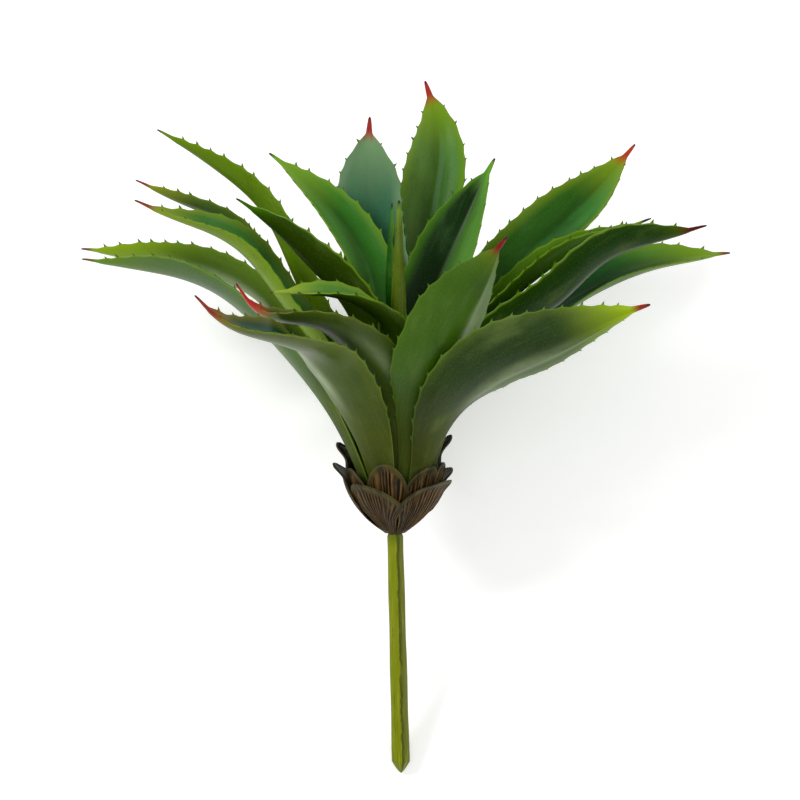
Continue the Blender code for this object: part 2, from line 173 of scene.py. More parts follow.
# name, whorl, azimuth of the base (0 is +X, 90 is +Y), path in the air to the tip, width, taper towards
# the tip, half angle of the channel, the azimuths that the leaf's back faces half way and at the tip, and
# how far its back dips past the base
Leaf = namedtuple(
    "Leaf", "name whorl azimuth path width taper fold back_middle back_tip dip", defaults=[BACK_DIP]
)
LEAVES = [
    Leaf("leaf_front_left", 0, 243, [(-23, -37, 67), (-37, -57, 85), (-58, -82, 94.5), (-76, -93, 100),
                                     (-91.5, -102, 114.5)], 31, 52, 54, 242, 160),
    Leaf("leaf_front_right_low", 0, 318, [(26, -36, 62), (46, -56, 82.5), (64, -67, 91), (82, -75, 98),
                                          (99, -80, 104.5), (119, -84, 111)], 36, 72, 38, 288, 292, 18),
    Leaf("leaf_right_low", 0, 8, [(30, -1, 62), (54, 6, 92), (86, 13, 115), (117, 22, 131),
                                  (150, 29, 139), (172, 31, 142)], 33, 52, 45, 40, 40),
    Leaf("leaf_back_right_low", 0, 70, [(20, 38, 60), (30, 60, 88), (36, 88, 112)], 29, 52, 45, 70, 70),
    Leaf("leaf_back_left_low", 0, 127, [(-25, 38, 62), (-38, 61, 92), (-52, 92, 123)], 29, 52, 45, 125, 125),
    Leaf("leaf_left_low", 0, 186, [(-31, 2, 57), (-56, 8, 90), (-82, 14, 115), (-112, 19, 130),
                                   (-145, 23, 136), (-160, 25, 138.5)], 30, 52, 42, 182, 182),
    Leaf("leaf_front_centre", 1, 298, [(13, -30, 66.5), (17, -43, 81), (29, -60, 108), (43, -72, 130),
                                       (52.5, -80, 143)], 37, 46, 36, 284, 290),
    Leaf("leaf_right_middle", 1, 345, [(38.5, -17, 84), (64, -22, 105), (79, -26, 115), (107, -32, 138),
                                       (137, -37, 147), (151, -39, 151)], 31, 52, 55, 330, 330),
    Leaf("leaf_right_back", 1, 52, [(24, 29, 79), (45.5, 37, 115), (67.5, 47, 141), (95.5, 54, 166),
                                    (109, 57, 180), (126, 60, 201)], 37, 54, 40, 68, 68),
    Leaf("leaf_back_low", 1, 103, [(-6, 41, 80), (-6, 62, 110), (-1, 82, 142)], 27, 52, 45, 95, 95),
    Leaf("leaf_left_middle", 1, 158, [(-26, 14, 64), (-51, 24, 95), (-69, 32, 117), (-84, 36, 127),
                                      (-105, 40, 134), (-132, 43, 140), (-163, 45, 145)],
         31, 60, 50, 195, 195),
    Leaf("leaf_left_upper", 1, 212, [(-34, -12, 86), (-58, -18, 118.5), (-76, -24, 141), (-89, -26, 148.5),
                                     (-112, -29, 157), (-127, -30, 164)], 31, 60, 55, 168, 165),
    Leaf("leaf_front_left_upper", 2, 275, [(1, -23, 64), (-7, -31, 78), (-23, -42, 93.5), (-45, -52, 103),
                                           (-63, -56.5, 107), (-75.5, -60, 122)], 30, 52, 54, 236, 156),
    Leaf("leaf_right_upper", 2, 2, [(24, 0, 76), (54, 2, 113), (74, 4, 131), (93, 6, 143), (108, 7, 149),
                                    (129, 8, 158)], 30, 52, 60, 12, 12),
    Leaf("leaf_left_back", 2, 131, [(-22, 21, 75), (-44, 33, 104), (-67, 37, 131), (-80, 37, 152),
                                    (-102, 37, 165), (-134, 38, 180)], 28, 52, 50, 180, 180),
    Leaf("leaf_left_centre", 3, 200, [(-13, -3, 78), (-20, -5, 108), (-29, -10, 121.5), (-43, -15, 136),
                                      (-57, -19, 150), (-78, -22, 165.5)], 30, 56, 52, 215, 210),
    Leaf("leaf_left_inner", 3, 250, [(-2, -20, 80), (-3, -28, 99), (-15, -36, 111), (-34, -42, 117.5),
                                     (-60, -48, 118)], 31, 56, 50, 208, 152),
    Leaf("leaf_upper_left", 2, 178, [(-20, 6, 80), (-41, 12, 111), (-57, 15, 146), (-68, 17, 164),
                                     (-88, 21, 182.5), (-121.5, 24, 204.5)], 22, 60, 55, 208, 196),
    Leaf("leaf_top", 3, 88, [(4.6, 19.4, 80), (9, 31.2, 122), (20, 43, 178),
                             (21.5, 49, 210), (15.5, 51, 233)], 32, 44, 35, 84, 84),
    Leaf("leaf_upper_right", 3, 35, [(8, 7, 80), (20, 10, 122), (31, 13, 147), (40.5, 14, 168),
                                     (50.5, 15, 189)], 33, 46, 50, 72, 72),
    Leaf("leaf_upper_left_inner", 4, 152, [(-4, 5.5, 80), (-7, 8.5, 101), (-14, 12, 134), (-26, 14, 155),
                                           (-37, 16, 168), (-64, 18, 192)], 26, 52, 42, 110, 115),
    Leaf("leaf_top_left", 4, 98, [(-2, 10, 80), (-8.5, 20, 127), (-13.5, 30, 172), (-13, 32, 212)],
         32, 30, 35, 94, 94),
    Leaf("leaf_heart", 4, 275, [(1.5, -7, 80), (2, -7, 109), (2, -4.5, 166)], 6.6, 52, 80, 272, 272),
    Leaf("leaf_heart_small", 4, 208, [(-1.8, -0.8, 80), (-3.3, 0, 120), (-1.5, 1, 165)],
         8.5, 40, 60, 200, 200),
]

# How each leaf is painted, in screen colours: its back, its face and the face's other half (painted as lit
# and shaded copies of one green where the two differ), the yellow-green near the tip with how far it reaches
# in mm, the tip's red and its reach, how strongly the rims are lit up, how dark the painted shade in the
# face's valley is, how far the crease along the middle and the keel stand out in mm, and how strong the
# painted highlight (a pale sheen) on the back is and where it lies across the leaf. The hidden leaves share
# one look.
Look = namedtuple(
    "Look",
    "back face far glow glow_reach red red_reach rim valley crease keel sheen sheen_at",
    defaults=[0.0, 0.0, 0.0],
)
HIDDEN_LOOK = Look("#4c6c34", "#3f7a4a", "#3f7a4a", "#8aa828", 26, "#a8441c", 10, 0.4, 0.3, 0.2)
LOOKS = {
    "leaf_front_left": Look(
        "#5e7424", "#24583c", "#24583c", "#a59418", 34, "#a0421c", 20, 0.4, 0.3, 0.1, 0.0, 0.75, -0.35
    ),
    "leaf_front_right_low": Look(
        "#3a5424", "#4f7a2a", "#4f7a2a", "#b0cc06", 48, "#a83c20", 9, 0.3, 0.2, 0.0, 1.3, 0.5, 0.42
    ),
    "leaf_right_low": Look("#5a7a44", "#3c7c3c", "#34703c", "#8cab32", 66, "#8c5a20", 6, 0.4, 0.4, 0.3),
    "leaf_back_right_low": HIDDEN_LOOK,
    "leaf_back_left_low": HIDDEN_LOOK,
    "leaf_left_low": Look(
        "#62824a", "#4c7a3a", "#4c7a3a", "#789c1c", 60, "#8c5a20", 6, 0.7, 0.3, 0.2, 0.0, 0.3, -0.3
    ),
    "leaf_front_centre": Look(
        "#537a1a", "#3f7a3a", "#3f7a3a", "#7a901c", 26, "#96302a", 12, 0.25, 0.2, 0.25, 0.8, 0.55, 0.6
    ),
    "leaf_right_middle": Look("#284e0a", "#2c6428", "#2c6428", "#5c7410", 30, "#6a2c18", 15, 0.7, 0.3, 0.2),
    "leaf_right_back": Look("#4f7a2a", "#3d6e22", "#529444", "#98b42c", 46, "#c4502e", 15, 0.5, 0.3, 0.55),
    "leaf_back_low": HIDDEN_LOOK,
    "leaf_left_middle": Look(
        "#7a9a3c", "#4c7a2c", "#4c7a2c", "#a0bc10", 76, "#8c5a20", 6, 0.5, 0.2, 0.2, 0.0, 0.3, 0.2
    ),
    "leaf_left_upper": Look("#88a626", "#5c9448", "#508640", "#9cac30", 40, "#a04a30", 12, 0.6, 0.3, 0.15),
    "leaf_front_left_upper": Look(
        "#5c7630", "#24583c", "#24583c", "#a59418", 28, "#c03824", 25, 0.3, 0.3, 0.1, 0.0, 0.4, 0.45
    ),
    "leaf_right_upper": Look("#527a08", "#548008", "#385406", "#7a9c20", 26, "#3c4a1a", 5, 0.7, 0.6, 0.5),
    "leaf_left_back": Look("#628040", "#8ca418", "#8ca418", "#a0aa1a", 40, "#a8441c", 9, 0.4, 0.2, 0.2),
    "leaf_left_centre": Look("#425c03", "#4f8a20", "#4f8a20", "#588a0c", 24, "#6a8a30", 3, 0.9, 0.2, 0.15),
    "leaf_left_inner": Look("#44640a", "#689c40", "#689c40", "#a8bc4c", 30, "#a4b858", 2, 0.6, 0.2, 0.15),
    "leaf_upper_left": Look("#6e900e", "#749412", "#749412", "#7e9c10", 60, "#6a8a1c", 3, 0.4, 0.2, 0.2),
    "leaf_top": Look("#4f7a2a", "#688a42", "#528e14", "#94b428", 46, "#b8483c", 14, 0.3, 0.45, 0.9),
    "leaf_upper_right": Look("#4f8a2a", "#1c4408", "#6fa24c", "#7ab43c", 22, "#8aa04a", 3, 0.4, 0.5, 0.7),
    "leaf_upper_left_inner": Look(
        "#9ab070", "#649a48", "#468430", "#8eb440", 50, "#6a9a40", 3, 0.4, 0.4, 0.45
    ),
    "leaf_top_left": Look("#3f7a3f", "#40785a", "#40785a", "#90b084", 54, "#b4403a", 13, 0.1, 0.2, 0.3),
    "leaf_heart": Look("#6a7e0f", "#5a6a0a", "#5a6a0a", "#84a030", 18, "#6a8a30", 3, 1.0, 0.8, 0.6),
    "leaf_heart_small": Look("#2f6a1c", "#34701c", "#34701c", "#4f8a2a", 18, "#3f6a20", 3, 0.5, 0.4, 0.2),
}

# name, layer (0 inner, 1 outer), azimuth, half span in degrees, height of the rim's peak, height of its
# sides, where the peak lies from -1 to 1, and how far the tip curls out
Husk = namedtuple("Husk", "name layer azimuth half peak side lean curl")
HUSKS = [
    Husk("husk_front_left", 1, 238, 48, 25, 12.5, -0.45, 0.0),
    Husk("husk_front_right", 1, 312, 40, 28, 13, 0.8, 2.5),
    Husk("husk_right", 1, 22, 42, 34, 20, -0.1, 3.0),
    Husk("husk_back", 1, 92, 42, 34, 20, 0.0, 1.5),
    Husk("husk_left", 1, 163, 42, 37, 18, 0.35, 4.0),
    Husk("husk_inner_front", 0, 258, 32, 35, 20, 0.0, 0.3),
    Husk("husk_inner_front_right", 0, 306, 27, 34, 20, 0.55, 0.5),
    Husk("husk_inner_right", 0, 347, 26, 36, 20, 0.0, 1.0),
    Husk("husk_inner_back_right", 0, 32, 27, 52, 22, -0.5, 6.5),
    Husk("husk_inner_back", 0, 98, 30, 42, 22, 0.0, 1.0),
    Husk("husk_inner_back_left", 0, 150, 28, 48, 22, 0.5, 6.0),
    Husk("husk_inner_left", 0, 204, 30, 33, 20, 0.0, 0.8),
]

# The paint is deeper than the screen colours by this curve, because the lights lift it.
PAINT_DEPTH, PAINT_CURVE = 0.85, 1.22

# The leaves' streaks, clouds and fine grain: how far each is drawn out along the leaf, how far apart it is
# cut for one leaf and the next, its scale and its detail.
LEAF_NOISES = [(0.06, 3.7, 0.85, 4.0), (0.45, 5.1, 0.085, 3.0), (0.7, 1.9, 1.5, 3.0)]

# Screen colours that all the leaves share, and those of the husks and the stem.
# At the root the face is darkened with painted shade; the back turns olive there.
FACE_ROOT_SHADE, BACK_ROOT = "#244824", "#5c6210"
FACE_LIGHT, BACK_LIGHT = "#7aa668", "#94a860"
# Dark green for the mottling and for the painted shade in the face's valley.
LEAF_DARK = "#1c380c"
# The painted highlight's pale sheen, and the lit strip painted beside the keel.
PAINTED_SHEEN, KEEL_LIT_STRIP = "#b8c89c", "#7f9a5c"
GLOSS_BACK, GLOSS_FACE = 0.2, 0.08
HUSK_GLOSS, STEM_GLOSS, FLOOR_GLOSS = 0.2, 0.15, 0.1
LEAF_GRAIN, HUSK_GRAIN, STEM_GRAIN = 0.25 * MM, 0.35 * MM, 0.3 * MM
RIM_REACH = 2.4
RIM, TOOTH, POINT = "#88aa30", "#4a7226", "#4a1c14"
HUSK_BROWN, HUSK_WARM, HUSK_RIB, HUSK_GROOVE = "#3e3014", "#4c3a18", "#917442", "#181006"
# HUSK_INSIDE_SHADE is painted shade on the husks' inner side.
LIP_OLIVE, LIP_DARK, HUSK_INSIDE_SHADE = "#645a2c", "#3f3a1e", "#221c10"
# The stem's lit side and shaded side are painted in; STEM_DARK is its painted shade and the dark of its
# streaks.
STEM_LIT_SIDE, STEM_SHADED_SIDE, STEM_DARK = "#929c0c", "#7c8210", "#505a0c"
STEM_PALE, STEM_GREEN = "#b4bc4a", "#5c7a1c"

# The studio, with the lights' places in the growth frame.
FLOOR_SIZE = 8.0
PAPER_DARK, PAPER_LIGHT = (0.90, 0.90, 0.895, 1.0), (0.94, 0.94, 0.935, 1.0)
FLOOR_ROUGHNESS = 0.9
FLOOR_GLOW = 0.3
WORLD_STRENGTH = 0.42
LIGHTS = [
    ("left", Vector((-1.15, -0.8, 0.85)), 0.6, 15.0),
    ("right", Vector((1.2, -0.65, 0.4)), 0.4, 6.0),
    ("overhead", Vector((0.1, -1.5, 0.1)), 1.2, 5.0),
]

# How the growth frame lies in the model's frame.
LAID = (
    Matrix.Translation(LAY_SHIFT)
    @ Matrix.Rotation(math.radians(LAY_LEAN), 4, "X")
    @ Matrix.Rotation(math.radians(LAY_TURN), 4, "Z")
)


def smooth_step(x):
    x = np.clip(x, 0.0, 1.0)
    return x * x * (3.0 - 2.0 * x)


def turn_between(first, second):
    """The smaller turn between two azimuths, in degrees."""
    return abs((first - second + 180) % 360 - 180)


def spline(points, at):
    """The natural cubic spline through points, read at the shares `at` of its chord length."""
    points = np.asarray(points, float)
    knots = np.concatenate([[0.0], np.cumsum(np.linalg.norm(np.diff(points, axis=0), axis=1))])
    step, slope = np.diff(knots), np.diff(points, axis=0) / np.diff(knots)[:, None]
    count = len(points)
    system, right = np.eye(count), np.zeros_like(points)
    for i in range(1, count - 1):
        system[i, i - 1], system[i, i], system[i, i + 1] = step[i - 1], 2 * (step[i - 1] + step[i]), step[i]
        right[i] = 6 * (slope[i] - slope[i - 1])
    bend = np.linalg.solve(system, right)
    place = np.clip(at, 0.0, 1.0) * knots[-1]
    i = np.clip(np.searchsorted(knots, place, side="right") - 1, 0, count - 2)
    before, after, span = (place - knots[i])[:, None], (knots[i + 1] - place)[:, None], step[i][:, None]
    return (
        (bend[i] * after**3 + bend[i + 1] * before**3) / (6 * span)
        + (points[i] / span - bend[i] * span / 6) * after
        + (points[i + 1] / span - bend[i + 1] * span / 6) * before
    )


def nest_radius(height, foot, radius, top, start, bulge):
    """The radius of a bowl that leaves the stem at the height `foot` and is upright near the height `top`."""
    share = np.clip((height - foot) / (top - foot), 0.0, 1.0)
    return start + (radius - start) * (1.0 - (1.0 - share) ** bulge)


def whorl_foot(whorl):
    return WHORL_FOOT + whorl * WHORL_RISE


def whorl_radius(whorl, height):
    start = STEM_RADIUS + SEAT_GAP + LEAF_THICKNESS / 2
    radius = WHORL_RADIUS - whorl * WHORL_STEP
    return nest_radius(height, whorl_foot(whorl), radius, WHORL_TOP, start, WHORL_ROUND)


def leaf_path(leaf):
    """The leaf's route: up its bowl from the stem, then through the points of its path."""
    angle, foot = math.radians(leaf.azimuth), whorl_foot(leaf.whorl)
    points = []
    for share in BOWL_SHARES:
        height = foot + share * (WHORL_TOP - foot)
        radius = whorl_radius(leaf.whorl, height)
        points.append((radius * math.cos(angle), radius * math.sin(angle), height))
    return points + [(x * MM, y * MM, z * MM) for x, y, z in leaf.path]


def base_share(leaf):
    """The share of a full turn that the leaf's base may take up beside its neighbours in the whorl."""
    others = [other.azimuth for other in LEAVES if other.whorl == leaf.whorl and other is not leaf]
    nearest = min(turn_between(other, leaf.azimuth) for other in others)
    return BASE_SHARE * min(nearest, BASE_WIDEST) / 360


def leaf_width(leaf, share, centre, length):
    """The blade's width: narrow at the base, full along the blade, an ogive and then a fine spike."""
    full = leaf.width * MM
    from_tip = (1.0 - share) * length
    taper = min(leaf.taper * MM, TAPER_MOST * length)
    left = np.clip(1.0 - (from_tip - SPIKE_LENGTH) / taper, 0.0, 1.0)
    spike = min(SPIKE_WIDTH, full / 3)
    blade = spike + (full - spike) * (1.0 - left**TAPER_POWER)
    blade = np.where(from_tip < SPIKE_LENGTH, spike * np.sqrt(from_tip / SPIKE_LENGTH), blade)
    blade = blade * (LEAF_NECK + (1.0 - LEAF_NECK) * smooth_step(share / 0.5))
    room = base_share(leaf) * 2 * math.pi * np.hypot(centre[:, 0], centre[:, 1])
    crowded = 1.0 - smooth_step((share - CROWDED_FROM) / CROWDED_OVER)
    return np.maximum((np.maximum(blade, 1e-6) ** -4 + crowded * room**-4) ** -0.25, 1e-5)


def leaf_frames(leaf, share, centre):
    """Unit vectors along the leaf, across it and out of its back, at each station."""
    along = np.gradient(centre, axis=0)
    along /= np.linalg.norm(along, axis=1)[:, None]
    turns = np.unwrap(np.radians([leaf.azimuth, leaf.back_middle, leaf.back_tip]))
    turn = np.interp(share, TURN_SHARES, turns)
    dip = np.radians(np.interp(share, TURN_SHARES[:2], [BACK_DIP, leaf.dip]))
    level, down = np.cos(dip), np.sin(dip)
    back = np.stack([np.cos(turn) * level, np.sin(turn) * level, -down], 1)
    back -= np.sum(back * along, axis=1)[:, None] * along
    back /= np.linalg.norm(back, axis=1)[:, None]
    return along, np.cross(along, back), back


def tube(rings, size):
    """The faces of a tube of rings with size vertices each, closed at its last ring by one more vertex."""
    faces = []
    last = size * (rings - 1)
    for start in range(0, last, size):
        for i in range(size):
            j = (i + 1) % size
            faces.append((start + i, start + j, start + size + j, start + size + i))
    return faces + [(last + i, last + (i + 1) % size, last + size) for i in range(size)]


def tooth_places(length, seed):
    """How far from the tip each tooth of a margin stands."""
    chance = np.random.RandomState(seed)
    places = [TOOTH_FROM_TIP * (1.0 + FIRST_TOOTH_SPREAD * chance.rand())]
    while places[-1] < (1.0 - TOOTH_FROM_BASE) * length:
        places.append(places[-1] + TOOTH_PITCH * (PITCH_LEAST + PITCH_SPREAD * chance.rand()))
    return np.array(places[:-1])


def scallops(from_tip, places):
    """1 at each tooth of a margin and -1 half way between two, fading out towards the tip and the base."""
    phase = np.interp(from_tip, places, np.arange(len(places)))
    inside = smooth_step((from_tip - places[0] + TOOTH_PITCH) / TOOTH_PITCH) * (from_tip < places[-1])
    return np.cos(2 * math.pi * phase) * inside


def tooth(root, out, forward, up, size):
    """Vertices and faces of a small flattened thorn that leans towards the leaf's tip."""
    lean = out * TOOTH_OUT + forward * TOOTH_FORWARD
    vertices = []
    for step, wide in TOOTH_RINGS:
        middle = root + (lean * step + forward * TOOTH_BEND * step * step) * TOOTH_LENGTH * size
        for turn in np.linspace(0.0, 2 * math.pi, TOOTH_SIDES, endpoint=False):
            flat = forward * math.cos(turn) * TOOTH_ROOT / 2 + up * math.sin(turn) * TOOTH_DEPTH / 2
            vertices.append(middle + flat * wide * size)
    vertices.append(root + (lean + forward * TOOTH_TIP_BEND) * TOOTH_LENGTH * size)
    faces = tube(len(TOOTH_RINGS), TOOTH_SIDES)
    faces.append(tuple(reversed(range(TOOTH_SIDES))))
    return vertices, faces


def leaf_blade(leaf, number):
    """A leaf's mesh in the growth frame, with the values that its paint is laid on by."""
    look = LOOKS[leaf.name]
    share = 1.0 - (1.0 - np.linspace(0.0, 1.0, LEAF_STATIONS)) ** STATION_POWER
    centre = spline(leaf_path(leaf), share)
    length = np.sum(np.linalg.norm(np.diff(centre, axis=0), axis=1))
    from_tip = (1.0 - share) * length
    width = leaf_width(leaf, share, centre, length)
    along, side, back = leaf_frames(leaf, share, centre)
    folded = smooth_step(share / FOLDED_BY)
    fold = np.radians(leaf.fold * folded + BASE_FOLD * (1 - folded))
    thickness = np.minimum(LEAF_THICKNESS, np.maximum(SPIKE_THICKNESS * width, LEAF_THINNEST))
    radius = width / 2 / np.sin(fold)
    teeth = {edge: tooth_places(length, 2 * number + (edge > 0)) for edge in (-1, 1)}
    columns = np.sin(np.linspace(-1.0, 1.0, LEAF_COLUMNS + 1) * math.pi / 2 * COLUMN_CROWDING)
    columns /= columns[-1]
    chance = np.random.RandomState(BLADE_SEED + number)
    phases = chance.rand(4) * 2 * math.pi
    free = smooth_step((share - FREE_FROM) / FREE_OVER) * smooth_step(from_tip / FREE_TIP)
    rings = {}
    for face, sign in (("back", 1.0), ("front", -1.0)):
        grid = []
        for across in columns:
            edge = 1 if across > 0 else -1
            reach = scallops(from_tip, teeth[edge]) * SCALLOP * abs(across) ** 8 / (width / 2)
            angle = fold * across * (1 + reach)
            sine, cosine = np.sin(angle)[:, None], np.cos(angle)[:, None]
            normal = side * sine + back * cosine
            offset = side * radius[:, None] * sine - back * radius[:, None] * (1 - cosine)
            half = (LEAF_EDGE + (thickness - LEAF_EDGE) * (1 - across**2)) / 2
            crease = look.crease * MM * math.exp(-((across / CREASE_WIDTH) ** 2))
            crease = crease * smooth_step(width / leaf.width / MM)
            crease = crease + look.keel * MM * math.exp(-(((across - KEEL_PLACE) / KEEL_WIDTH) ** 2)) * free
            wave = WAVE * free * (
                np.sin(from_tip / WAVE_LONG + phases[0] + 2.1 * across)
                + 0.6 * np.sin(from_tip / WAVE_SHORT + phases[1] - 3.3 * across)
            )
            rise = (half * sign + crease + wave)[:, None]
            grid.append(centre + offset + normal * rise)
        rings[face] = np.stack(grid, 1)
    count = LEAF_COLUMNS + 1
    loops = np.concatenate([rings["back"], rings["front"][:, ::-1]], 1)[:-1]
    stations = len(loops)
    vertices = np.concatenate([loops.reshape(-1, 3), centre[-1:]])
    size = 2 * count
    faces = tube(stations, size)
    faces += [(i, i + 1, size - 2 - i, size - 1 - i) for i in range(count - 1)]
    across = np.tile(np.concatenate([columns, columns[::-1]]), stations)
    paint = {
        "across": np.append(across, 0.0),
        "back": np.append(np.tile(np.repeat([1.0, 0.0], count), stations), 1.0),
        "tip_mm": np.append(np.repeat(from_tip[:-1], size), 0.0) / MM,
        "share": np.append(np.repeat(share[:-1], size), 1.0),
        "tooth": np.zeros(len(vertices)),
    }
    paint["across_mm"] = paint["across"] * np.append(np.repeat(width[:-1] / 2, size), 0.0) / MM
    vertices, extra = [vertices], []
    for edge, places in teeth.items():
        rim = (rings["back"][:, -1 if edge > 0 else 0] + rings["front"][:, -1 if edge > 0 else 0]) / 2
        chance = np.random.RandomState(THORN_SEED + 2 * number + (edge > 0))
        for place in places:
            at = np.interp(place, from_tip[::-1], np.arange(len(share))[::-1])
            i = int(at)
            root = rim[i] + (rim[i + 1] - rim[i]) * (at - i)
            angle = fold[i] * edge
            out = side[i] * math.cos(angle) * edge - back[i] * math.sin(angle) * edge
            up = side[i] * math.sin(angle) + back[i] * math.cos(angle)
            grown = GROWN_LEAST + GROWN_SPREAD * chance.rand()
            thorn, thorn_faces = tooth(root, out, along[i], up, grown)
            start = sum(len(group) for group in vertices)
            faces += [tuple(start + corner for corner in face) for face in thorn_faces]
            vertices.append(np.array(thorn))
            extra.append((len(thorn), edge, place / MM, share[i], width[i] / 2 / MM * edge))
    for name, column in (("across", 1), ("tip_mm", 2), ("share", 3), ("across_mm", 4)):
        paint[name] = np.concatenate([paint[name]] + [np.full(row[0], float(row[column])) for row in extra])
    thorn_paint = np.repeat([0.0, 0.6, 1.0, 1.0], [TOOTH_SIDES, TOOTH_SIDES, TOOTH_SIDES, 1])
    paint["tooth"] = np.concatenate([paint["tooth"]] + [thorn_paint for _ in extra])
    paint["back"] = np.concatenate([paint["back"]] + [np.full(row[0], 0.5) for row in extra])
    return np.concatenate(vertices), faces, paint


def husk_foot(layer):
    return 0.0 if layer else HUSK_INNER_FOOT


def husk_profile(layer, height, swirl):
    """The radius of a husk's middle surface: the outer whorl's bowl, pushed out by what lies between."""
    depth = HUSK_THICKNESS + 2 * HUSK_SWIRL + HUSK_GAP
    foot = husk_foot(layer)
    start = STEM_RADIUS + SEAT_GAP + HUSK_THICKNESS / 2
    radius = WHORL_RADIUS + LEAF_THICKNESS / 2 + HUSK_GAP + depth * (layer + 0.5)
    rise = smooth_step((height - foot) / HUSK_FLARE)
    bowl = nest_radius(height, foot, radius, WHORL_TOP - HUSK_RIM_BELOW, start, HUSK_ROUND)
    return bowl + swirl * HUSK_SWIRL * rise


def husk_skin(husk, number):
    """A husk's mesh in the growth frame: a curved scale with ribs on its outside and a rolled rim."""
    others = [other.azimuth for other in HUSKS if other.layer == husk.layer and other is not husk]
    foot_half = HUSK_FOOT_SHARE * min(turn_between(other, husk.azimuth) for other in others)
    foot = husk_foot(husk.layer)
    columns = np.linspace(-1.0, 1.0, HUSK_COLUMNS + 1)
    rows = np.linspace(0.0, 1.0, HUSK_ROWS + 1)
    reach = (columns - husk.lean) / np.where(columns < husk.lean, -1 - husk.lean, 1 - husk.lean)
    top = (husk.side + (husk.peak - husk.side) * (1 - reach**HUSK_RIM_POWER)) * MM
    curl_from, curl_over = HUSK_CURL_FROM * husk.peak * MM, (1 - HUSK_CURL_FROM) * husk.peak * MM
    chance = np.random.RandomState(HUSK_SEED + number)
    wander = np.interp(columns, np.linspace(-1, 1, RIB_KNOTS), chance.rand(RIB_KNOTS) - 0.5) * RIB_WANDER
    strengths = STRENGTH_LEAST + STRENGTH_SPREAD * chance.rand(STRENGTH_KNOTS)
    strength = np.interp(columns, np.linspace(-1, 1, STRENGTH_KNOTS), strengths)
    surfaces, ridges, below = [], [], []
    for sign in (1.0, -1.0):
        grid = []
        for row in rows:
            height = foot + (top - foot) * row
            spread = smooth_step((height - foot - HUSK_SPREAD_FROM) / HUSK_SPREAD_OVER)
            half = foot_half + (husk.half - foot_half) * spread
            turn = np.radians(husk.azimuth + half * columns)
            curl = husk.curl * MM * smooth_step((height - curl_from) / curl_over)
            radius = husk_profile(husk.layer, height, columns) + curl
            drop = HOOK * curl * smooth_step((row - HOOK_FROM) / HOOK_OVER)
            arc = np.radians(husk.half) * columns * WHORL_RADIUS
            ridge = np.cos(2 * math.pi * (arc / RIB_PITCH + wander + RIB_DRIFT * row * wander)) * strength
            from_rim = top - height
            bare = smooth_step((from_rim - 0.5 * LIP_HEIGHT) / (0.7 * LIP_HEIGHT))
            lip = LIP_PUSH * np.exp(-(((from_rim - 0.35 * LIP_HEIGHT) / (0.55 * LIP_HEIGHT)) ** 2))
            edge = 1 - SIDE_THINNING * smooth_step((np.abs(columns) - SIDE_FROM) / SIDE_OVER)
            swell = RIB_DEPTH * ridge * bare * smooth_step(row / RIB_STARTS)
            thick = sign * HUSK_THICKNESS / 2 * edge
            outside = sign > 0
            radius = radius + thick + lip * (1.0 if outside else LIP_INSIDE) + (swell if outside else 0.0)
            grid.append(np.stack([radius * np.cos(turn), radius * np.sin(turn), height - drop], 1))
            ridges.append(ridge * bare if outside else 0 * ridge)
            below.append(from_rim / MM)
        surfaces.append(grid)
    vertices = np.array([point for grid in surfaces for row in grid for point in row])
    width, size = HUSK_COLUMNS + 1, (HUSK_COLUMNS + 1) * (HUSK_ROWS + 1)
    faces = []
    for r in range(HUSK_ROWS):
        for c in range(HUSK_COLUMNS):
            a = r * width + c
            faces.append((a, a + 1, a + width + 1, a + width))
            faces.append((size + a + width, size + a + width + 1, size + a + 1, size + a))
    edge = list(range(width)) + [r * width + HUSK_COLUMNS for r in range(1, HUSK_ROWS + 1)]
    edge += [HUSK_ROWS * width + c for c in range(HUSK_COLUMNS - 1, -1, -1)]
    edge += [r * width for r in range(HUSK_ROWS - 1, 0, -1)]
    faces += [(a, size + a, size + b, b) for a, b in zip(edge, edge[1:] + edge[:1])]
    rows_mm = np.tile(np.repeat(rows * husk.peak, width), 2)
    paint = {
        "ridge": np.concatenate(ridges),
        "rim_mm": np.concatenate(below),
        "outside": np.repeat([1.0, 0.0], size),
        "along_mm": rows_mm,
        "across_mm": np.tile(np.radians(husk.half) * columns * WHORL_RADIUS / MM, 2 * (HUSK_ROWS + 1)),
    }
    return vertices, faces, paint


